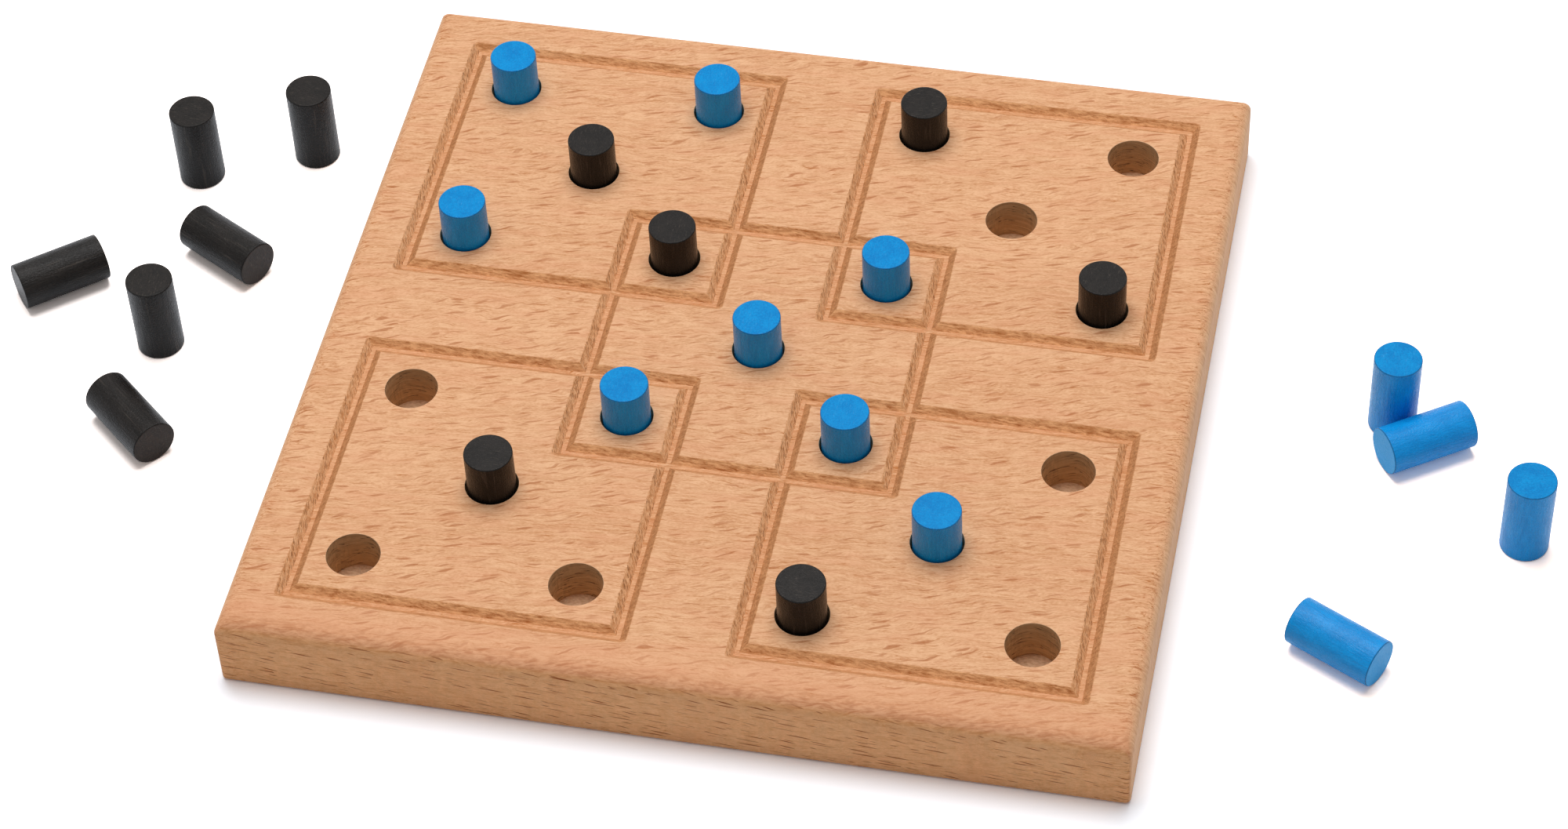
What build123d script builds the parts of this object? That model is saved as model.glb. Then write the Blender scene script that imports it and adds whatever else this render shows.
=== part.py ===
from build123d import *
from math import cos, radians, sin
import os

# A wooden peg board game. The origin is the centre of the board's underside, on the table.
# +Z points up, +X to the right and +Y away from the front edge. Lengths are in millimetres.

# Pegs
peg_diameter = 11.0
peg_length = 21.0

# Peg holes, on a square grid
hole_spacing = 25.0
hole_clearance = 0.5
hole_depth = 10.5
floor_thickness = 7.5

# Routed grooves, each a square drawn around five holes
groove_offset = 12.0
groove_top_width = 4.6
groove_floor_width = 1.0
groove_depth = 1.4
groove_corner_radius = 1.2
groove_foot_radius = 0.3

# Board
edge_margin = 13.0
top_edge_radius = 3.2
corner_radius = 1.2
bottom_edge_radius = 0.8

# Loose pegs on the table: how far out from the board's side edge, how far behind its middle
# and, for one that lies on its side, the turn of its length from +X in degrees
blue_standing = [(43.0, 18.0), (75.4, -13.3)]
blue_lying = [(38.4, -52.8, -27.0)]
black_standing = [(23.6, 62.9), (49.5, 51.4), (43.0, -4.6)]
black_lying = [(34.6, 23.7, -28.9), (71.2, 8.7, 39.0), (40.9, -33.5, -40.7)]

# One more blue peg lies against the first standing one, all but touching it
beside_gap = 0.5
beside_turn = 33.6
beside_slip = 2.0

# Sizes that follow from the ones above
peg_radius = peg_diameter / 2
hole_radius = peg_radius + hole_clearance
board_thickness = hole_depth + floor_thickness
grid_reach = 3 * hole_spacing
groove_half_side = hole_spacing + groove_offset
board_half_side = grid_reach + groove_offset + edge_margin
hole_floor = board_thickness - hole_depth
groove_floor = board_thickness - groove_depth

# One square of holes in the middle of the board and one in each quarter
square_reach = 2 * hole_spacing
square_centres = [(0, 0)]
for side_y in (1, -1):
    for side_x in (-1, 1):
        square_centres.append((side_x * square_reach, side_y * square_reach))

# Every square has a hole at its centre and one near each corner. Neighbours share a hole.
hole_points = []
for centre_x, centre_y in square_centres:
    hole_points.append((centre_x, centre_y))
    for side_y in (1, -1):
        for side_x in (-1, 1):
            point = (centre_x + side_x * hole_spacing, centre_y + side_y * hole_spacing)
            if point not in hole_points:
                hole_points.append(point)

# Seated pegs, as grid steps right of and behind the board's centre
blue_seats = [(-3, 3), (-1, 3), (-3, 1), (1, 1), (0, 0), (-1, -1), (1, -1), (2, -2)]
black_seats = [(1, 3), (-2, 2), (-1, 1), (3, 1), (-2, -2), (1, -3)]


def save(piece, name):
    """Label a finished piece and write its STEP file."""
    piece.part.label = name
    export_step(piece.part, f"parts/{name}.step")


def seat_plane(column, row):
    """The floor of a peg hole, given in grid steps from the board's centre."""
    return Plane((column * hole_spacing, row * hole_spacing, hole_floor))


def standing_plane(side, out, behind):
    """The foot of a loose peg that stands on the table. side is 1 on the right, -1 on the left."""
    return Plane((side * (board_half_side + out), behind, 0))


def lying_plane(side, out, behind, turn):
    """The end face of a loose peg that lies on its side, with its middle at out and behind."""
    run_x = cos(radians(turn))
    run_y = sin(radians(turn))
    end_x = side * (board_half_side + out) - run_x * peg_length / 2
    end_y = behind - run_y * peg_length / 2
    return Plane((end_x, end_y, peg_radius), z_dir=(run_x, run_y, 0))


def beside_plane(side, out, behind):
    """The end face of a lying peg whose flank all but touches the one standing at this place."""
    spread = peg_diameter + beside_gap
    run_x = cos(radians(beside_turn))
    run_y = sin(radians(beside_turn))
    beside_out = out + side * (beside_slip * run_x + spread * run_y)
    beside_behind = behind + beside_slip * run_y - spread * run_x
    return lying_plane(side, beside_out, beside_behind, beside_turn)


os.makedirs("parts", exist_ok=True)

# The shape that one square groove takes out of the board. Its outer corners are a little round,
# less so at the floor, and its inner corners are sharp mitres.
with BuildPart() as groove_cutter:
    with BuildSketch(Plane.XY.offset(groove_floor)):
        floor_side = 2 * groove_half_side + groove_floor_width
        RectangleRounded(floor_side, floor_side, groove_foot_radius)
    with BuildSketch(Plane.XY.offset(board_thickness)):
        top_side = 2 * groove_half_side + groove_top_width
        RectangleRounded(top_side, top_side, groove_corner_radius)
    loft()
    with BuildSketch(Plane.XY.offset(groove_floor)):
        island_foot = 2 * groove_half_side - groove_floor_width
        Rectangle(island_foot, island_foot)
    with BuildSketch(Plane.XY.offset(board_thickness)):
        island_top = 2 * groove_half_side - groove_top_width
        Rectangle(island_top, island_top)
    loft(mode=Mode.SUBTRACT)

# The board: a square slab with rounded edges, blind peg holes and five crossing grooves
with BuildPart() as board:
    with BuildSketch(Plane.XY):
        RectangleRounded(2 * board_half_side, 2 * board_half_side, corner_radius)
    extrude(amount=board_thickness)
    fillet(board.faces().sort_by(Axis.Z)[-1].edges(), top_edge_radius)
    fillet(board.faces().sort_by(Axis.Z)[0].edges(), bottom_edge_radius)
    with BuildSketch(Plane.XY.offset(board_thickness)):
        with Locations(*hole_points):
            Circle(hole_radius)
    extrude(amount=-hole_depth, mode=Mode.SUBTRACT)
    with Locations(*square_centres):
        add(groove_cutter.part, mode=Mode.SUBTRACT)
save(board, "board")

# Blue pegs: first the seated ones, then the loose ones on the right of the board
right = 1
blue_planes = [seat_plane(*seat) for seat in blue_seats]
blue_planes += [standing_plane(right, *place) for place in blue_standing]
blue_planes += [lying_plane(right, *place) for place in blue_lying]
blue_planes.append(beside_plane(right, *blue_standing[0]))

# Black pegs: first the seated ones, then the loose ones on the left of the board
left = -1
black_planes = [seat_plane(*seat) for seat in black_seats]
black_planes += [standing_plane(left, *place) for place in black_standing]
black_planes += [lying_plane(left, *place) for place in black_lying]

# Every peg is the same plain dowel with both ends cut square
for colour, planes in (("blue", blue_planes), ("black", black_planes)):
    for number, plane in enumerate(planes, start=1):
        with BuildPart() as peg:
            with BuildSketch(plane):
                Circle(peg_radius)
            extrude(amount=peg_length)
        save(peg, f"{colour}_peg_{number:02d}")
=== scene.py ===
from math import cos, pi, radians, sin
import random

import bmesh
import bpy
import numpy as np
from mathutils import Matrix, Quaternion, Vector, noise


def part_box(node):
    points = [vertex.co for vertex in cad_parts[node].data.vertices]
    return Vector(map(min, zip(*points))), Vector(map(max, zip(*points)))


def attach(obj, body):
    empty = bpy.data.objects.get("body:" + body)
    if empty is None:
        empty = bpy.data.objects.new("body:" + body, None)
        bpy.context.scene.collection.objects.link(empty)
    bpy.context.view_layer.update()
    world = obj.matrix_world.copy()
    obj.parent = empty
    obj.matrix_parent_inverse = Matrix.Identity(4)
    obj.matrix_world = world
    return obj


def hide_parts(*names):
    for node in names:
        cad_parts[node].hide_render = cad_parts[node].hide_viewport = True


# A wooden peg board game: a beech board with routed grooves and blind holes, and 24 dyed pegs.
# The named sizes are in millimetres, and every object is in metres, in the frame of the solids.

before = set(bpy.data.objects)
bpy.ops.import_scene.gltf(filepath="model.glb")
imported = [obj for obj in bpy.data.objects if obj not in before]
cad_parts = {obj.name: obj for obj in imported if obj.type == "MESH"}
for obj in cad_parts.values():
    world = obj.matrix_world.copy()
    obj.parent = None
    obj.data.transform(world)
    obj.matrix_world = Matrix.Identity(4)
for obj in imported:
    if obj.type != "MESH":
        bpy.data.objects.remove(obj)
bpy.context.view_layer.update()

MM = 0.001

# The view of the photograph
VIEW_AIM = Vector((5.9, -2.85, 0.0))
VIEW_DISTANCE = 973.9
VIEW_AZIMUTH = radians(13.49)
VIEW_ELEVATION = radians(47.66)
VIEW_ROLL = radians(-2.896)
LENS_LENGTH = 97.37
SENSOR_WIDTH = 36.0
CLIP_START = 0.01

# Board
HOLE_SPACING = 25.0
HOLE_RADIUS = 6.0
HOLE_DEPTH = 10.5
HOLE_EDGE_BREAK = 0.06
GROOVE_HALF_SIDE = 37.0
GROOVE_TOP_WIDTH = 4.6
GROOVE_FLOOR_WIDTH = 1.0
GROOVE_DEPTH = 1.4
GROOVE_CORNER_RADIUS = 1.2
GROOVE_FOOT_RADIUS = 0.3
TOP_EDGE_RADIUS = 3.2
CORNER_RADIUS = 1.2
BOTTOM_EDGE_RADIUS = 0.8
BOARD_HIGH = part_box("board")[1] / MM
BOARD_HALF_SIDE = BOARD_HIGH.x
BOARD_TOP = BOARD_HIGH.z

# Pegs
PEG_RADIUS = 5.47
PEG_LENGTH = 21.0
PEG_RIM_RADIUS = 0.3


def srgb(red, green, blue):
    """A display colour in 0 to 255 as linear red, green, blue and alpha."""
    channels = []
    for value in (red, green, blue):
        share = value / 255
        if share <= 0.04045:
            channels.append(share / 12.92)
        else:
            channels.append(((share + 0.055) / 1.055) ** 2.4)
    return (*channels, 1.0)


def towards(azimuth, elevation):
    """The unit vector to a place at that azimuth, which is 0 in front, and that elevation."""
    flat = cos(elevation)
    return Vector((sin(azimuth) * flat, -cos(azimuth) * flat, sin(elevation)))


def link(thing):
    """Put an object in the scene and return it."""
    bpy.context.scene.collection.objects.link(thing)
    return thing


def make_camera():
    data = bpy.data.cameras.new("camera")
    data.lens = LENS_LENGTH
    data.sensor_width = SENSOR_WIDTH
    data.clip_start = CLIP_START
    camera = link(bpy.data.objects.new("camera", data))
    back = towards(VIEW_AZIMUTH, VIEW_ELEVATION)
    camera.location = (VIEW_AIM + back * VIEW_DISTANCE) * MM
    camera.rotation_mode = "QUATERNION"
    level = (-back).to_track_quat("-Z", "Y")
    camera.rotation_quaternion = level @ Quaternion((0, 0, 1), VIEW_ROLL)
    bpy.context.scene.camera = camera


def make_lamp(name, azimuth, elevation, distance, size, level):
    """A square soft box aimed at the board. level is what it adds to a white face turned to it."""
    data = bpy.data.lights.new(name, "AREA")
    data.shape = "SQUARE"
    data.size = size
    data.energy = level * pi**2 * distance**2
    lamp = link(bpy.data.objects.new(name, data))
    away = towards(radians(azimuth), radians(elevation))
    lamp.location = away * distance
    lamp.rotation_mode = "QUATERNION"
    lamp.rotation_quaternion = (-away).to_track_quat("-Z", "Y")


class Tree:
    """The nodes of one material or world. Most methods add nodes and return their output."""

    def __init__(self, owner):
        owner.use_nodes = True
        self.owner = owner
        self.nodes = owner.node_tree.nodes
        self.links = owner.node_tree.links
        self.nodes.clear()

    def add(self, kind, **settings):
        node = self.nodes.new(kind)
        for name, value in settings.items():
            setattr(node, name, value)
        return node

    def feed(self, socket, value):
        """Link an output to the socket, or set a plain value on it."""
        if isinstance(value, bpy.types.NodeSocket):
            self.links.new(value, socket)
        else:
            socket.default_value = value

    def math(self, operation, *values):
        node = self.add("ShaderNodeMath", operation=operation)
        for socket, value in zip(node.inputs, values):
            self.feed(socket, value)
        return node.outputs[0]

    def total(self, first, *others):
        for other in others:
            first = self.math("ADD", first, other)
        return first

    def product(self, first, *others):
        for other in others:
            first = self.math("MULTIPLY", first, other)
        return first

    def join(self, x, y, z=0.0):
        node = self.add("ShaderNodeCombineXYZ")
        for socket, value in zip(node.inputs, (x, y, z)):
            self.feed(socket, value)
        return node.outputs[0]

    def split(self, vector):
        node = self.add("ShaderNodeSeparateXYZ")
        self.feed(node.inputs[0], vector)
        return tuple(node.outputs)

    def place(self):
        """Coordinates in the piece's own frame, in millimetres."""
        node = self.add("ShaderNodeVectorMath", operation="SCALE")
        self.feed(node.inputs[0], self.add("ShaderNodeTexCoord").outputs["Object"])
        node.inputs["Scale"].default_value = 1 / MM
        return self.split(node.outputs[0])

    def facing(self):
        """How far the surface faces along X, Y and Z, from -1 to 1 each."""
        return self.split(self.add("ShaderNodeTexCoord").outputs["Normal"])

    def turned(self, first, second, angle):
        """Two coordinates in axes that are turned from the first towards the second."""
        ahead = self.total(self.product(first, cos(angle)), self.product(second, sin(angle)))
        aside = self.total(self.product(first, -sin(angle)), self.product(second, cos(angle)))
        return ahead, aside

    def step(self, value, low, high):
        """0 at low, 1 at high and a smooth rise between. low may be the larger one."""
        node = self.add("ShaderNodeMapRange", interpolation_type="SMOOTHSTEP")
        self.feed(node.inputs["Value"], value)
        node.inputs["From Min"].default_value = low
        node.inputs["From Max"].default_value = high
        return node.outputs["Result"]

    def noise(self, spot, lumps, detail=2.0, roughness=0.5):
        """Soft noise about 0, mostly within 0.25 of it. lumps is about how many of its lumps
        there are to a unit of each coordinate of spot."""
        scaled = self.add("ShaderNodeVectorMath", operation="MULTIPLY")
        self.feed(scaled.inputs[0], self.join(*spot))
        scaled.inputs[1].default_value = lumps
        node = self.add("ShaderNodeTexNoise")
        self.feed(node.inputs["Vector"], scaled.outputs[0])
        node.inputs["Scale"].default_value = 1.0
        node.inputs["Detail"].default_value = detail
        node.inputs["Roughness"].default_value = roughness
        return self.math("SUBTRACT", node.outputs["Fac"], 0.5)

    def colours(self, blend, strength, first, second):
        node = self.add("ShaderNodeMix", data_type="RGBA", blend_type=blend)
        self.feed(node.inputs[0], strength)
        self.feed(node.inputs[6], first)
        self.feed(node.inputs[7], second)
        return node.outputs[2]

    def tint(self, first, second, strength):
        """The first colour where strength is 0 and the second where it is 1."""
        return self.colours("MIX", strength, first, second)

    def shade(self, colour, change):
        """colour made lighter where change is above 0 and darker where it is below."""
        level = self.math("ADD", change, 1.0)
        return self.colours("MULTIPLY", 1.0, colour, self.join(level, level, level))

    def flecks(self, along, across, length, width, cell, share, seed, bend):
        """Pointed dashes up to length and width large, one to a cell at most, as a strength from
        0 to 1. cell is the size of a cell, share says how many of the cells hold a dash, and bend
        is how strongly the dashes curve."""
        cell_length, cell_width = cell
        scaled_along = self.math("MULTIPLY_ADD", along, 1 / cell_length, seed)
        scaled_across = self.math("MULTIPLY_ADD", across, 1 / cell_width, seed)
        cells = self.add("ShaderNodeTexVoronoi", voronoi_dimensions="2D")
        self.feed(cells.inputs["Vector"], self.join(scaled_along, scaled_across))
        cells.inputs["Scale"].default_value = 1.0
        centre = self.split(cells.outputs["Position"])
        present, size, lean = self.split(cells.outputs["Color"])
        run = self.product(self.math("SUBTRACT", scaled_along, centre[0]), cell_length)
        off = self.product(self.math("SUBTRACT", scaled_across, centre[1]), cell_width)
        reach = self.math("MULTIPLY_ADD", size, 0.25 * length, 0.25 * length)
        run_share = self.math("DIVIDE", run, reach)
        fullness = self.math("SUBTRACT", 1.0, self.product(run_share, run_share))
        thickness = self.math("MULTIPLY_ADD", lean, 0.3 * width, 0.3 * width)
        turned = self.product(run, self.math("SUBTRACT", size, 0.5), 0.16)
        curve = self.product(run, run, self.math("SUBTRACT", lean, 0.5), bend)
        distance = self.math("ABSOLUTE", self.math("SUBTRACT", off, self.total(turned, curve)))
        inside = self.math("SUBTRACT", self.product(fullness, thickness), distance)
        shown = self.step(present, 1 - share, 1 - 0.4 * share)
        return self.product(self.step(inside, -0.1 * width, 0.25 * width), shown)

    def bump(self, height, distance):
        """A normal for a relief whose height runs over 1 for that many millimetres."""
        node = self.add("ShaderNodeBump")
        node.inputs["Strength"].default_value = 1.0
        node.inputs["Distance"].default_value = distance * MM
        self.feed(node.inputs["Height"], height)
        return node.outputs["Normal"]

    def surface(self, colour, roughness, normal, specular):
        """Finish the tree with a plain shader, and return its material."""
        shader = self.add("ShaderNodeBsdfPrincipled")
        self.feed(shader.inputs["Base Color"], colour)
        self.feed(shader.inputs["Roughness"], roughness)
        self.feed(shader.inputs["Normal"], normal)
        shader.inputs["Specular IOR Level"].default_value = specular
        output = self.add("ShaderNodeOutputMaterial")
        self.links.new(shader.outputs["BSDF"], output.inputs["Surface"])
        return self.owner


def new_tree(name):
    return Tree(bpy.data.materials.new(name))


def seen_directly(tree):
    """1 for what the camera sees, straight or in a gloss or through glass, and 0 for light."""
    path = tree.add("ShaderNodeLightPath").outputs
    rays = tree.total(
        path["Is Camera Ray"], path["Is Glossy Ray"], path["Is Transmission Ray"]
    )
    return tree.math("MINIMUM", rays, 1.0)


WHITE = (1.0, 1.0, 1.0, 1.0)


def make_world(level):
    """A soft even light, which the camera sees as white."""
    world = bpy.data.worlds.new("studio")
    bpy.context.scene.world = world
    tree = Tree(world)
    background = tree.add("ShaderNodeBackground")
    background.inputs["Color"].default_value = WHITE
    shown = seen_directly(tree)
    strength = tree.math("MULTIPLY_ADD", shown, 1.0 - level, level)
    tree.feed(background.inputs["Strength"], strength)
    output = tree.add("ShaderNodeOutputWorld")
    tree.links.new(background.outputs["Background"], output.inputs["Surface"])


# The table: the colour that it lights the pieces with, and the brighter ones that the camera
# sees by the board and around the loose pegs of each colour
TABLE_WHITE = srgb(246, 244, 243)
TABLE_BY_BOARD = (1.395, 1.455, 1.545, 1.0)
TABLE_BY_BLACK = (2.55, 2.355, 2.28, 1.0)
TABLE_BY_BLUE = (2.625, 2.145, 1.83, 1.0)
TABLE_DROP = 0.05

# How far from the middle the loose pegs' part of the table begins, and where all turns white
PEGS_FROM, PEGS_FULL = 108.0, 116.0
WHITE_FROM, WHITE_FULL = 400.0, 800.0


def make_floor(half_side):
    """A white table. The camera sees it so bright that only the shadows close to the pieces stay
    under white, in a tone for each part of the table, and far from the board it shows plain
    white."""
    mesh = bpy.data.meshes.new("table")
    corners = [(-half_side, -half_side), (half_side, -half_side)]
    corners += [(half_side, half_side), (-half_side, half_side)]
    mesh.from_pydata([(x, y, -TABLE_DROP * MM) for x, y in corners], [], [range(4)])
    tree = new_tree("table_white")
    x, y, _ = tree.place()
    lit = tree.add("ShaderNodeBsdfDiffuse")
    lit.inputs["Color"].default_value = TABLE_WHITE
    seen = tree.add("ShaderNodeBsdfDiffuse")
    to_camera = tree.add("ShaderNodeLightPath").outputs["Is Camera Ray"]
    among_pegs = tree.step(tree.math("ABSOLUTE", x), PEGS_FROM, PEGS_FULL)
    on_right = tree.step(x, -BOARD_HALF_SIDE, BOARD_HALF_SIDE)
    by_pegs = tree.tint(TABLE_BY_BLACK, TABLE_BY_BLUE, on_right)
    shown = tree.tint(TABLE_BY_BOARD, by_pegs, tree.product(among_pegs, to_camera))
    tree.feed(seen.inputs["Color"], shown)
    distant = tree.add("ShaderNodeEmission")
    distant.inputs["Color"].default_value = WHITE
    away = tree.math("SQRT", tree.total(tree.product(x, x), tree.product(y, y)))
    faded = tree.add("ShaderNodeMixShader")
    tree.feed(faded.inputs[0], tree.step(away, WHITE_FROM, WHITE_FULL))
    tree.links.new(seen.outputs[0], faded.inputs[1])
    tree.links.new(distant.outputs[0], faded.inputs[2])
    both = tree.add("ShaderNodeMixShader")
    tree.feed(both.inputs[0], seen_directly(tree))
    tree.links.new(lit.outputs[0], both.inputs[1])
    tree.links.new(faded.outputs[0], both.inputs[2])
    output = tree.add("ShaderNodeOutputMaterial")
    tree.links.new(both.outputs[0], output.inputs["Surface"])
    mesh.materials.append(tree.owner)
    link(bpy.data.objects.new("table", mesh))


# Beech. The grain runs along X and the yearly layers lie across Y. The rays are cut along their
# faces on the top, where they show as pointed flecks, and across them on the front and back,
# where they show as thin dashes. On the ends the layers show as fine upright streaks.

BEECH_LIGHT = srgb(247, 194, 150)
BEECH_DARK = srgb(186, 108, 45)
BEECH_ROSE = srgb(234, 164, 124)
BEECH_RAY = srgb(176, 97, 46)
BEECH_DASH = srgb(138, 60, 8)
BEECH_CURL = srgb(170, 100, 50)
BEECH_SIDE = srgb(236, 170, 104)
BEECH_END_LIGHT = srgb(255, 209, 164)
BEECH_END_DARK = srgb(212, 147, 104)
RAY_TURN = radians(12)
DASH_TURN = radians(-7)

# The walls of the grooves and holes, each with its lighter and its darker tone
TORN_TONES = (srgb(246, 190, 142), srgb(200, 134, 84))
CLEAN_TONES = (srgb(216, 156, 108), srgb(150, 92, 50))
FAR_TONES = (srgb(246, 184, 130), srgb(172, 100, 50))
NEAR_TONES = (srgb(230, 168, 120), srgb(170, 108, 62))
BORE_TONES = (srgb(222, 184, 140), srgb(182, 140, 98))
HOLE_FLOOR_TONES = (srgb(248, 208, 170), srgb(204, 156, 116))
TORN_HAIR = srgb(144, 84, 44)
FAR_PATCH = srgb(176, 102, 46)
BORE_SCAR = srgb(64, 36, 18)
STROKE_TURN = radians(17)


def beech_ground(tree, x, y, z):
    """How dark the wood is without its rays, from 0 to 1, its strands, and a coordinate across
    its layers, which wave."""
    wave = tree.noise((x, y, z), (0.016, 0.03, 0.05))
    sway = tree.noise((x, y, z), (0.09, 0.22, 0.1))
    rise = tree.product(x, -0.1)
    layer = tree.total(y, rise, tree.product(wave, 9.0), tree.product(sway, 3.2))
    spot = (x, layer, z)
    band = tree.noise(spot, (0.006, 0.06, 0.02))
    years = tree.noise(spot, (0.03, 0.5, 0.1))
    strand = tree.noise(spot, (0.25, 1.7, 1.2), detail=3.0, roughness=0.7)
    pore = tree.noise(spot, (1.3, 5.5, 5.5), detail=1.0)

    # Hair lines, which come and go along the board and open up near its ends
    hair = tree.noise(spot, (0.16, 1.5, 1.5))
    lines = tree.step(tree.math("ABSOLUTE", hair), 0.03, 0.0)
    kept = tree.step(tree.noise((x, layer, 3.0), (0.2, 0.8, 1.0), detail=1.0), -0.15, 0.15)
    near_end = tree.step(tree.math("ABSOLUTE", x), 90.0, 98.0)
    lines = tree.product(lines, tree.math("MAXIMUM", kept, near_end))
    lines = tree.product(lines, tree.math("MULTIPLY_ADD", near_end, 1.2, 1.0))
    threads = tree.flecks(
        x, tree.total(layer, z), length=8.0, width=0.18, cell=(6.0, 0.7),
        share=0.7, seed=53.7, bend=0.01
    )

    dark = tree.total(
        tree.product(band, 0.3),
        tree.product(years, 0.25),
        tree.product(strand, 1.2),
        tree.product(lines, 0.3),
        tree.product(threads, 0.4),
        tree.product(pore, 0.8),
        0.17,
    )
    return dark, strand, layer


def beech_colour(tree, dark, x, layer):
    """The colour of the wood where it is that dark, warmer in long patches."""
    colour = tree.tint(BEECH_LIGHT, BEECH_DARK, dark)
    patch = tree.noise((x, layer, 9.0), (0.07, 0.3, 1.0))
    return tree.tint(colour, BEECH_ROSE, tree.product(tree.step(patch, -0.1, 0.25), 0.3))


def beech_face():
    """The outside of the board."""
    tree = new_tree("beech_face")
    x, y, z = tree.place()
    end_face, long_face, _ = (tree.math("ABSOLUTE", part) for part in tree.facing())
    dark, strand, layer = beech_ground(tree, x, y, z)
    ground = beech_colour(tree, dark, x, layer)

    # Rays on the top, in three sizes. The largest ones stand in loose crowds.
    turn_cos = cos(RAY_TURN)
    turn_sin = sin(RAY_TURN)
    along = tree.total(tree.product(x, turn_cos), tree.product(y, turn_sin))
    across = tree.total(tree.product(x, -turn_sin), tree.product(layer, turn_cos))
    bold = tree.flecks(
        along, across, length=6.8, width=0.66, cell=(8.6, 2.6), share=0.75, seed=3.7, bend=0.02
    )
    fine = tree.flecks(
        along, across, length=4.4, width=0.48, cell=(5.5, 1.8), share=0.7, seed=41.3, bend=0.03
    )
    faint = tree.flecks(
        along, across, length=2.8, width=0.32, cell=(3.5, 1.1), share=0.65, seed=97.1, bend=0.04
    )
    crowd = tree.noise((x, layer, 7.0), (0.03, 0.14, 1.0))
    bold = tree.product(bold, tree.step(crowd, -0.3, 0.0))
    rays = tree.math("MAXIMUM", bold, tree.product(fine, 0.7))
    rays = tree.math("MAXIMUM", rays, tree.product(faint, 0.4))

    # Dashes on the front and back, in two sizes, and curls on the rounded edge above them
    low_along, low_across = tree.turned(x, z, DASH_TURN)
    thin = tree.flecks(
        low_along, low_across, length=7.0, width=0.32, cell=(7.2, 1.7),
        share=0.8, seed=11.1, bend=0.0
    )
    small = tree.flecks(
        low_along, low_across, length=3.2, width=0.28, cell=(4.4, 2.0),
        share=0.6, seed=67.9, bend=0.0
    )
    dashes = tree.math("MAXIMUM", thin, tree.product(small, 0.75))
    curls = tree.noise((x, tree.total(layer, z), z), (0.42, 1.1, 0.5))

    upright = tree.noise((x, layer, z), (0.4, 1.6, 0.16), detail=3.0, roughness=0.7)

    on_side = tree.step(long_face, 0.55, 0.9)
    on_end = tree.step(end_face, 0.5, 0.95)
    on_top = tree.math("SUBTRACT", 1.0, tree.math("MAXIMUM", on_side, on_end))
    at_front = tree.step(tree.total(y, tree.product(strand, 2.0)), -94.0, -97.5)
    on_round = tree.product(at_front, tree.step(long_face, 1.0, 0.75))

    colour = tree.tint(ground, BEECH_RAY, tree.product(rays, on_top, 0.62))
    curled = tree.math("MULTIPLY_ADD", tree.step(curls, -0.1, 0.2), 0.5, 0.2)
    colour = tree.tint(colour, BEECH_CURL, tree.product(curled, on_round))
    colour = tree.tint(colour, BEECH_ROSE, tree.product(tree.step(y, -86.0, -93.0), on_top, 0.3))
    colour = tree.tint(colour, BEECH_SIDE, tree.product(on_side, 0.35))
    colour = tree.shade(colour, tree.product(upright, on_side, 0.3))
    colour = tree.tint(colour, BEECH_DASH, tree.product(dashes, on_side, 0.85))
    streak = tree.math("MULTIPLY_ADD", upright, 2.2, 0.35)
    end_colour = tree.tint(BEECH_END_LIGHT, BEECH_END_DARK, streak)
    colour = tree.tint(colour, end_colour, tree.product(on_end, 0.85))

    height = tree.total(
        tree.product(strand, 0.6), tree.product(rays, on_top, -0.35), tree.product(upright, on_end)
    )
    roughness = tree.math("MULTIPLY_ADD", strand, 0.2, 0.62)
    return tree.surface(colour, roughness, tree.bump(height, distance=0.035), specular=0.12)


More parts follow.
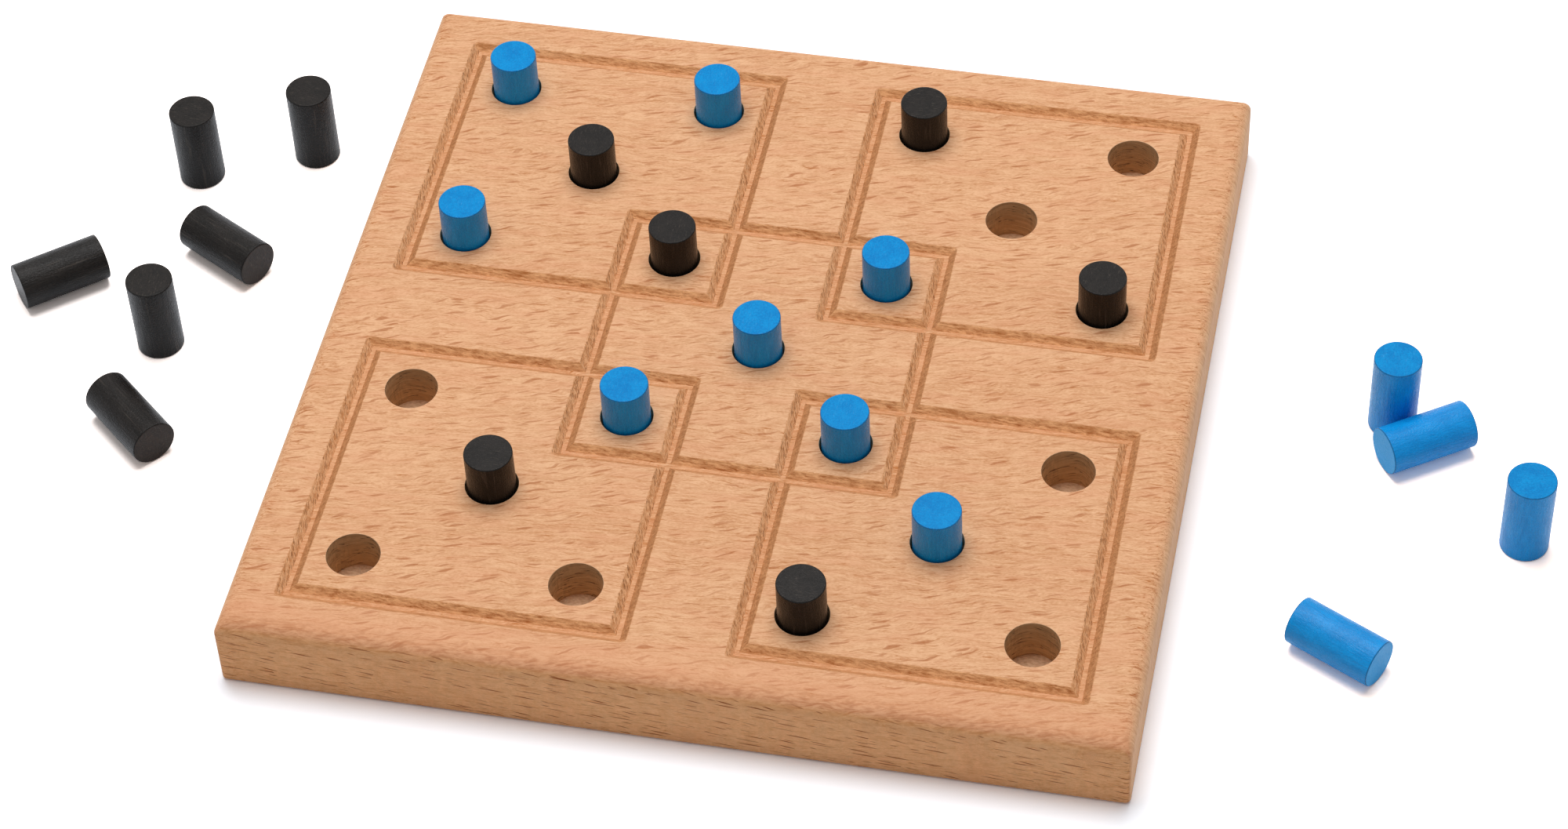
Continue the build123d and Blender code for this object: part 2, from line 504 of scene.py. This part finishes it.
def beech_groove():
    """The routed walls. Where they cross the grain, one is torn in short strokes and the other
    is cut clean, and along the grain they are streaked."""
    tree = new_tree("beech_groove")
    x, y, z = tree.place()
    to_right, to_back, _ = tree.facing()
    dark, strand, layer = beech_ground(tree, x, y, z)
    ground = beech_colour(tree, tree.math("ADD", dark, 0.2), x, layer)

    # The walls across the grain
    over, down = tree.turned(x, y, STROKE_TURN)
    wander = tree.noise((x, y, 2.0), (0.6, 0.6, 1.0))
    stroke_at = tree.total(tree.product(over, 4.6), tree.product(wander, 7.0))
    strokes = tree.noise((stroke_at, down, z), (1.0, 0.6, 0.7), detail=3.0, roughness=0.7)
    hairs = tree.flecks(
        down, over, length=2.2, width=0.18, cell=(1.7, 0.32), share=0.7, seed=19.7, bend=0.12
    )
    ragged = tree.step(tree.noise((x, y, 8.0), (0.05, 0.07, 1.0)), -0.12, 0.12)
    hair_share = tree.math("MULTIPLY_ADD", ragged, 0.4, 0.2)
    torn_colour = tree.tint(*TORN_TONES, tree.step(strokes, -0.2, 0.2))
    torn_colour = tree.tint(torn_colour, TORN_HAIR, tree.product(hairs, hair_share))
    clean_colour = tree.tint(*CLEAN_TONES, tree.math("MULTIPLY_ADD", strand, 1.8, 0.36))
    clean_colour = tree.shade(clean_colour, tree.product(strokes, -0.8))
    clean_colour = tree.tint(clean_colour, TORN_HAIR, tree.product(hairs, hair_share, 0.7))

    # The walls along the grain, the far one of each groove and the near one
    streak_at = tree.total(tree.product(y, 2.0), tree.product(x, 0.15), tree.product(wander, 1.8))
    streaks = tree.noise((x, streak_at, z), (0.35, 1.0, 2.0), detail=3.0, roughness=0.7)
    clusters = tree.noise((x, y, 5.0), (0.16, 0.5, 1.0), roughness=0.6)
    warm = tree.step(clusters, 0.04, 0.2)
    far_colour = tree.tint(*FAR_TONES, tree.math("MULTIPLY_ADD", streaks, 3.0, 0.36))
    far_colour = tree.tint(far_colour, FAR_PATCH, tree.product(warm, 0.5))
    near_colour = tree.tint(*NEAR_TONES, tree.math("MULTIPLY_ADD", streaks, 2.4, 0.4))

    colour = tree.tint(ground, torn_colour, tree.step(to_right, 0.12, 0.4))
    colour = tree.tint(colour, clean_colour, tree.step(to_right, -0.12, -0.4))
    colour = tree.tint(colour, far_colour, tree.step(to_back, -0.12, -0.4))
    colour = tree.tint(colour, near_colour, tree.step(to_back, 0.12, 0.4))
    torn = tree.step(to_right, 0.2, 0.45)
    long_wall = tree.step(tree.math("ABSOLUTE", to_back), 0.2, 0.45)
    height = tree.total(
        tree.product(tree.total(strokes, hairs), torn, -1.0),
        tree.product(streaks, long_wall, -0.8),
        strand,
    )
    roughness = tree.math("MULTIPLY_ADD", strokes, 0.2, 0.72)
    return tree.surface(colour, roughness, tree.bump(height, distance=0.1), specular=0.08)


def beech_hole():
    """The bored walls, with the rings of the drill, and the rougher floors."""
    tree = new_tree("beech_hole")
    x, y, z = tree.place()
    across_grain, _, upward = tree.facing()
    tilt = tree.noise((x, y, 4.0), (0.08, 0.08, 1.0))
    ring_at = tree.total(tree.product(z, 1.4), tree.product(tilt, 9.0))
    rings = tree.noise((x, y, ring_at), (0.1, 0.1, 1.0))
    scars = tree.step(tree.math("ABSOLUTE", rings), 0.024, 0.0)
    kept = tree.step(tree.noise((x, y, z), (0.2, 0.2, 1.0), detail=1.0), -0.1, 0.05)
    scars = tree.product(scars, kept)
    ragged = tree.noise((x, y, z), (1.2, 2.4, 0.5), detail=3.0)
    rough_side = tree.math("ABSOLUTE", across_grain)
    wall = tree.tint(*BORE_TONES, tree.math("MULTIPLY_ADD", rings, 1.2, 0.35))
    wall = tree.shade(wall, tree.product(ragged, rough_side, 0.8))
    wall = tree.tint(wall, BORE_SCAR, tree.product(scars, 0.8))
    floor = tree.tint(*HOLE_FLOOR_TONES, tree.math("MULTIPLY_ADD", ragged, 2.0, 0.4))
    colour = tree.tint(wall, floor, tree.step(upward, 0.4, 0.8))
    height = tree.total(rings, tree.product(ragged, rough_side), tree.product(scars, -0.6))
    roughness = tree.math("MULTIPLY_ADD", ragged, 0.2, 0.72)
    return tree.surface(colour, roughness, tree.bump(height, distance=0.1), specular=0.08)


# Meshes. Every length from here on is in millimetres until finish_mesh turns them into metres.

OUTLINE_STEPS = 80
CORNER_STEPS = 12
BOTTOM_EDGE_STEPS = 8
TOP_EDGE_STEPS = 14
HOLE_STEPS = 96
GROOVE_LEG_STEPS = 220
GROOVE_ARC_STEPS = 6

# How far each cutter reaches above the board
DRILL_RISE = 1.0
GROOVE_CUTTER_RISE = 0.4

# The worn shoulder at the top of the groove walls
SHOULDER_WIDTH = 0.35
SHOULDER_DEPTH = 0.13

# How far the groove walls wander: along the grain, and across it where cut clean and torn
WANDER_ALONG = 0.05
WANDER_CLEAN = 0.08
WANDER_TORN = 0.16
WANDER_COARSE = 0.9
WANDER_FINE = 2.9
WANDER_FINE_SHARE = 0.8
WANDER_LANE_GAP = 40.0

# Points nearer than this are one, in a groove cutter and in the finished board
CUTTER_POINT_GAP = 1e-6
BOARD_POINT_GAP = 0.002

# Edges whose faces turn by more than this are sharp
BOARD_SHARP_ANGLE = radians(28)
PEG_SHARP_ANGLE = radians(50)

# The board's finishes, in the order of its materials
FACE, GROOVE, HOLE = range(3)


def mesh_object(name, fill, *values):
    """A new object whose mesh is what fill(mesh, values) makes, with outward faces."""
    builder = bmesh.new()
    fill(builder, *values)
    bmesh.ops.recalc_face_normals(builder, faces=builder.faces)
    mesh = bpy.data.meshes.new(name)
    builder.to_mesh(mesh)
    builder.free()
    return link(bpy.data.objects.new(name, mesh))


def finish_mesh(piece, materials, finish_of, sharp_angle):
    """Give each face the material that finish_of names, shade it smoothly but for sharp edges,
    and turn the mesh into metres."""
    mesh = piece.data
    mesh.materials.clear()
    for material in materials:
        mesh.materials.append(material)
    for polygon in mesh.polygons:
        polygon.use_smooth = True
        polygon.material_index = finish_of(polygon)
    mesh.set_sharp_from_angle(angle=sharp_angle)
    mesh.transform(Matrix.Scale(MM, 4))
    weighted = piece.modifiers.new("flat_faces_stay_flat", "WEIGHTED_NORMAL")
    weighted.keep_sharp = True


def closed_stack(mesh, rings):
    """Skin a stack of rings with as many points each, lowest first, and close both ends."""
    loops = [[mesh.verts.new(point) for point in ring] for ring in rings]
    for lower, upper in zip(loops, loops[1:]):
        for i in range(len(lower)):
            j = (i + 1) % len(lower)
            mesh.faces.new((lower[i], lower[j], upper[j], upper[i]))
    mesh.faces.new(list(reversed(loops[0])))
    mesh.faces.new(loops[-1])


def quarter_turns():
    """The turns that take the front side of a square to each of its sides."""
    return [Matrix.Rotation(quarter * pi / 2, 3, "Z") for quarter in range(4)]


def corner_arc(turn, reach, radius, height, steps):
    """Points round the corner after a side, from its start to one step before its end. reach is
    how far the arc's centre is from the middle of the square."""
    points = []
    for step in range(steps):
        angle = -pi / 2 + pi / 2 * step / steps
        x = reach + radius * cos(angle)
        y = -reach + radius * sin(angle)
        points.append(turn @ Vector((x, y, height)))
    return points


def rounded_square(half_side, radius, height):
    """Points round a square with round corners, counter-clockwise from the front left."""
    points = []
    reach = half_side - radius
    for turn in quarter_turns():
        for step in range(OUTLINE_STEPS):
            along = -reach + 2 * reach * step / OUTLINE_STEPS
            points.append(turn @ Vector((along, -half_side, height)))
        points += corner_arc(turn, reach, radius, height, CORNER_STEPS)
    return points


def board_slab(mesh):
    """The plain slab. Both its edges are rounded over, the lower one with less."""
    rings = []
    for step in range(BOTTOM_EDGE_STEPS + 1):
        angle = pi / 2 * step / BOTTOM_EDGE_STEPS
        inset = BOTTOM_EDGE_RADIUS * (1 - sin(angle))
        height = BOTTOM_EDGE_RADIUS * (1 - cos(angle))
        rings.append(rounded_square(BOARD_HALF_SIDE - inset, CORNER_RADIUS, height))
    for step in range(TOP_EDGE_STEPS + 1):
        angle = pi / 2 * step / TOP_EDGE_STEPS
        inset = TOP_EDGE_RADIUS * (1 - cos(angle))
        height = BOARD_TOP - TOP_EDGE_RADIUS * (1 - sin(angle))
        rings.append(rounded_square(BOARD_HALF_SIDE - inset, CORNER_RADIUS, height))
    closed_stack(mesh, rings)


def square_centres():
    """The middle of the board and of its four quarters, where the grooved squares sit."""
    reach = 2 * HOLE_SPACING
    return [(0, 0), (-reach, reach), (reach, reach), (-reach, -reach), (reach, -reach)]


def hole_points():
    """The centre of every hole, one in the middle and four near the corners of each square."""
    found = []
    for centre_x, centre_y in square_centres():
        offsets = [(0, 0)]
        offsets += [(x * HOLE_SPACING, y * HOLE_SPACING) for x in (-1, 1) for y in (-1, 1)]
        for x, y in offsets:
            if (centre_x + x, centre_y + y) not in found:
                found.append((centre_x + x, centre_y + y))
    return found


def hole_cutters(mesh):
    """One drill to a hole. A narrow bevel at the mouth breaks the hole's edge."""
    profile = [
        (HOLE_RADIUS, BOARD_TOP - HOLE_DEPTH),
        (HOLE_RADIUS, BOARD_TOP - HOLE_EDGE_BREAK),
        (HOLE_RADIUS + HOLE_EDGE_BREAK, BOARD_TOP),
        (HOLE_RADIUS + HOLE_EDGE_BREAK, BOARD_TOP + DRILL_RISE),
    ]
    for hole_x, hole_y in hole_points():
        rings = []
        for radius, height in profile:
            ring = []
            for step in range(HOLE_STEPS):
                angle = 2 * pi * step / HOLE_STEPS
                x = hole_x + radius * cos(angle)
                y = hole_y + radius * sin(angle)
                ring.append(Vector((x, y, height)))
            rings.append(ring)
        closed_stack(mesh, rings)


def groove_cutter(mesh, centre_x, centre_y):
    """A square ring with sloped walls and a worn shoulder at the top. Its outer corners are a
    little round and its inner ones mitred, and its walls wander, most where they cross the
    grain and are torn."""
    half_width = GROOVE_TOP_WIDTH / 2
    levels = [
        (BOARD_TOP - GROOVE_DEPTH, GROOVE_FLOOR_WIDTH / 2, GROOVE_FOOT_RADIUS),
        (BOARD_TOP - SHOULDER_DEPTH, half_width - SHOULDER_WIDTH, GROOVE_CORNER_RADIUS),
        (BOARD_TOP, half_width, GROOVE_CORNER_RADIUS),
        (
            BOARD_TOP + GROOVE_CUTTER_RISE,
            half_width + 0.5 * GROOVE_CUTTER_RISE,
            GROOVE_CORNER_RADIUS,
        ),
    ]
    outer_rough = (WANDER_ALONG, WANDER_CLEAN, WANDER_ALONG, WANDER_TORN)
    inner_rough = (WANDER_ALONG, WANDER_TORN, WANDER_ALONG, WANDER_CLEAN)

    def leg(turn, side, reach, height, lane, rough):
        """The points along one wall from its start, which is in place, to one step before its
        end. The others stray from it by about rough, outwards or inwards."""
        points = []
        for step in range(GROOVE_LEG_STEPS):
            along = reach * (2 * step / GROOVE_LEG_STEPS - 1)
            spot = turn @ Vector((along, -side, height))
            seed = Vector((spot.x + centre_x, spot.y + centre_y, WANDER_LANE_GAP * lane))
            coarse = noise.noise(seed * WANDER_COARSE)
            fine = WANDER_FINE_SHARE * noise.noise(seed * WANDER_FINE)
            push = rough * (coarse + fine) if step else 0.0
            points.append(turn @ Vector((along, -side - push, height)))
        return points

    def outer_ring(level):
        height, half_width, radius = levels[level]
        lane = 1 if level else 0
        side = GROOVE_HALF_SIDE + half_width
        reach = side - radius
        points = []
        for turn, rough in zip(quarter_turns(), outer_rough):
            points += leg(turn, side, reach, height, lane, rough)
            points += corner_arc(turn, reach, radius, height, GROOVE_ARC_STEPS)
        return points

    def inner_ring(level):
        height, half_width, _ = levels[level]
        lane = 3 if level else 2
        side = GROOVE_HALF_SIDE - half_width
        points = []
        for turn, rough in zip(quarter_turns(), inner_rough):
            points += leg(turn, side, side, height, lane, -rough)
            points += [turn @ Vector((side, -side, height))] * GROOVE_ARC_STEPS
        return points

    loops = []
    order = list(range(len(levels)))
    for ring, heights in ((outer_ring, order), (inner_ring, reversed(order))):
        for level in heights:
            verts = []
            for point in ring(level):
                if verts and (verts[-1].co - point).length < CUTTER_POINT_GAP:
                    verts.append(verts[-1])
                else:
                    verts.append(mesh.verts.new(point))
            loops.append(verts)
    loops.append(loops[0])
    for first, second in zip(loops, loops[1:]):
        for i in range(len(first)):
            j = (i + 1) % len(first)
            corners = []
            for vert in (first[i], first[j], second[j], second[i]):
                if vert not in corners:
                    corners.append(vert)
            if len(corners) > 2:
                mesh.faces.new(corners)
    offset = Vector((centre_x, centre_y, 0))
    for vert in {vert for loop in loops for vert in loop}:
        vert.co += offset


def cut(thing, cutter):
    """Take the cutter's shape out of a thing, and delete the cutter."""
    modifier = thing.modifiers.new("cut", "BOOLEAN")
    modifier.operation = "DIFFERENCE"
    modifier.solver = "MANIFOLD"
    modifier.object = cutter
    graph = bpy.context.evaluated_depsgraph_get()
    result = bpy.data.meshes.new_from_object(thing.evaluated_get(graph))
    thing.modifiers.clear()
    old = thing.data
    thing.data = result
    bpy.data.meshes.remove(old)
    bpy.data.objects.remove(cutter)


def join_close_points(mesh, distance):
    """Make one point of those that lie within that distance, and drop the points in which only
    two edges meet."""
    builder = bmesh.new()
    builder.from_mesh(mesh)
    bmesh.ops.remove_doubles(builder, verts=builder.verts, dist=distance)
    idle = [vert for vert in builder.verts if len(vert.link_edges) == 2]
    bmesh.ops.dissolve_verts(builder, verts=idle)
    builder.to_mesh(mesh)
    builder.free()


def board_finish(polygon):
    """Which of the board's three finishes a face has, by where its middle is."""
    slack = 0.001
    hole_margin = 0.3
    grooves_within = BOARD_HALF_SIDE - 1.5 * TOP_EDGE_RADIUS
    middle = polygon.center
    if max(abs(middle.x), abs(middle.y)) >= grooves_within:
        return FACE
    if middle.z < slack or middle.z > BOARD_TOP - slack:
        return FACE
    nearest = min((Vector(point) - middle.xy).length for point in hole_points())
    return HOLE if nearest < HOLE_RADIUS + hole_margin else GROOVE


def make_board():
    board = mesh_object("board_wood", board_slab)
    cut(board, mesh_object("drills", hole_cutters))
    for centre in square_centres():
        cut(board, mesh_object("groove_cutter", groove_cutter, *centre))
    join_close_points(board.data, BOARD_POINT_GAP)
    materials = (beech_face(), beech_groove(), beech_hole())
    finish_mesh(board, materials, board_finish, BOARD_SHARP_ANGLE)
    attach(board, "board")
    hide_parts("board")


# Pegs. Each dye is given at its deepest and as it mostly is, with the wood under it and the darker
# tone of the rim.

BLUE_RIM = srgb(4, 84, 140)
BLUE = (srgb(7, 141, 219), srgb(14, 164, 245), srgb(104, 184, 236), BLUE_RIM)
BLUE_SAWN = (srgb(4, 131, 206), srgb(12, 158, 230), srgb(104, 184, 236), BLUE_RIM)
# Painted light: a lighter copy of the sawn end finish, for the ends of the lying pegs, which face
# sideways
BLUE_PAINTED_LIGHT_END = (srgb(52, 170, 242), srgb(68, 182, 253), srgb(130, 200, 240), BLUE_RIM)
BLACK_RIM = srgb(9, 8, 7)
BLACK = (srgb(14, 11, 9), srgb(36, 31, 28), srgb(96, 86, 78), BLACK_RIM)
# Painted light: a lighter copy of the black end finish, for the ends of the lying pegs, which face
# sideways
BLACK_PAINTED_LIGHT_END = (srgb(32, 23, 18), srgb(54, 43, 35), srgb(104, 92, 82), BLACK_RIM)

PEG_STEPS = 72
PEG_RIM_STEPS = 4
PEG_SIDE_STEPS = 12

# The dowel's hollows: how deep they are, how many go round and along, and how the pegs differ
HOLLOW_DEPTH = 0.04
HOLLOWS_ROUND = 1.3
HOLLOWS_ALONG = 0.05
HOLLOWS_SHIFT = 3.1

# Each peg is cut from its own place on one long rod, so that no two have the same grain
ROD_STEP = 37.0


def stained_wood(name, dye, bare_share, relief, roughness, specular):
    """Dyed wood: fine grain along the dowel, uneven dye, thin fibres that took less of it and a
    rim that is tinted darker. bare_share is how far the wood under the dye shows in the fibres."""
    deep, plain, bare, edge = dye
    tree = new_tree(name)
    spot = tree.place()
    grain = tree.noise(spot, (2.0, 2.0, 0.2), detail=4.0, roughness=0.65)
    cloud = tree.noise(spot, (0.3, 0.3, 0.15))
    dust = tree.noise(spot, (4.0, 4.0, 2.4))
    change = tree.total(
        tree.product(grain, 0.9), tree.product(cloud, 0.6), tree.product(dust, 0.8)
    )
    colour = tree.tint(plain, deep, tree.step(change, -0.3, 0.3))
    fibres = tree.noise(spot, (0.7, 3.4, 0.12), detail=3.0, roughness=0.6)
    pale = tree.step(fibres, 0.06, 0.24)
    specks = tree.step(dust, 0.24, 0.32)
    colour = tree.tint(colour, bare, tree.product(pale, bare_share))
    colour = tree.tint(colour, bare, tree.product(specks, 0.5))
    # The rounded rim is tinted darker all round
    upward = tree.math("ABSOLUTE", tree.facing()[2])
    rim = tree.product(tree.step(upward, 0.1, 0.4), tree.step(upward, 0.96, 0.8))
    colour = tree.tint(colour, edge, tree.product(rim, 0.7))
    height = tree.total(grain, tree.product(dust, 1.1))
    rough = tree.math("MULTIPLY_ADD", grain, 0.5, roughness)
    return tree.surface(colour, rough, tree.bump(height, relief), specular)


def dowel(mesh, start, seed):
    """A sawn dowel along Z, from the height start of the rod that it is cut from."""
    profile = []
    for step in range(PEG_RIM_STEPS + 1):
        angle = pi / 2 * step / PEG_RIM_STEPS
        inset = PEG_RIM_RADIUS * (1 - sin(angle))
        profile.append((PEG_RADIUS - inset, PEG_RIM_RADIUS * (1 - cos(angle))))
    for step in range(1, PEG_SIDE_STEPS):
        profile.append((PEG_RADIUS, PEG_LENGTH * step / PEG_SIDE_STEPS))
    for radius, height in reversed(profile[: PEG_RIM_STEPS + 1]):
        profile.append((radius, PEG_LENGTH - height))
    rings = []
    for radius, height in profile:
        ring = []
        for step in range(PEG_STEPS):
            angle = 2 * pi * step / PEG_STEPS
            x = cos(angle)
            y = sin(angle)
            hollow_at = (x * HOLLOWS_ROUND, y * HOLLOWS_ROUND, height * HOLLOWS_ALONG + seed)
            reach = radius - HOLLOW_DEPTH * abs(noise.noise(Vector(hollow_at)))
            ring.append(Vector((reach * x, reach * y, start + height)))
        rings.append(ring)
    closed_stack(mesh, rings)


def peg_finish(polygon):
    """0 on the side of a peg and 1 on its two ends."""
    return 1 if abs(polygon.normal.z) > 0.95 else 0


def peg_frame(node):
    """The middle of a peg's solid and the direction of its length, up or to the right."""
    points = np.array([vert.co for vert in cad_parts[node].data.vertices])
    low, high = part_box(node)
    middle = (low + high) / 2
    spread = points - np.array(middle)
    axis = Vector(np.linalg.svd(spread, full_matrices=False)[2][0])
    leading = axis.z if abs(axis.z) > 0.5 else axis.x
    return middle, axis if leading > 0 else -axis


def make_peg(node, number, finishes):
    start = ROD_STEP * number
    peg = mesh_object(f"{node}_dowel", dowel, start, HOLLOWS_SHIFT * number)
    middle, axis = peg_frame(node)
    side, end, painted_light_end = finishes
    lies = axis.z < 0.5
    # A lying peg's ends face sideways and get the lighter end finish, which is painted light
    finish_mesh(peg, (side, painted_light_end if lies else end), peg_finish, PEG_SHARP_ANGLE)
    turn = axis.to_track_quat("Z", "Y") @ Quaternion((0, 0, 1), random.randrange(4) * pi / 2)
    centre = Matrix.Translation((0, 0, -(start + PEG_LENGTH / 2) * MM))
    peg.matrix_world = Matrix.Translation(middle) @ turn.to_matrix().to_4x4() @ centre
    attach(peg, node)
    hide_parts(node)


def make_pegs():
    """Each peg has a smoother finish on its side than on its two sawn ends, and the ends of the
    lying ones, which face sideways, have a lighter copy of the end finish, which is painted light."""
    random.seed(11)
    finishes = {
        "blue": (
            stained_wood("blue_side", BLUE, 0.1, relief=0.1, roughness=0.28, specular=0.2),
            stained_wood("blue_end", BLUE_SAWN, 0.2, relief=0.04, roughness=0.4, specular=0.1),
            stained_wood("blue_painted_light_end", BLUE_PAINTED_LIGHT_END, 0.2, relief=0.04, roughness=0.4, specular=0.1),
        ),
        "black": (
            stained_wood("black_side", BLACK, 0.35, relief=0.12, roughness=0.28, specular=0.15),
            stained_wood("black_end", BLACK, 0.4, relief=0.06, roughness=0.35, specular=0.14),
            stained_wood(
                "black_painted_light_end", BLACK_PAINTED_LIGHT_END, 0.4, relief=0.06, roughness=0.35, specular=0.14
            ),
        ),
    }
    number = 0
    for colour in ("blue", "black"):
        for node in sorted(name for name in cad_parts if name.startswith(colour)):
            number += 1
            make_peg(node, number, finishes[colour])


make_camera()
make_world(level=0.25)
make_lamp("key_light", azimuth=200, elevation=77, distance=1.6, size=1.0, level=0.77)
make_floor(half_side=3.0)
make_board()
make_pegs()

bpy.context.scene.view_settings.view_transform = "Standard"
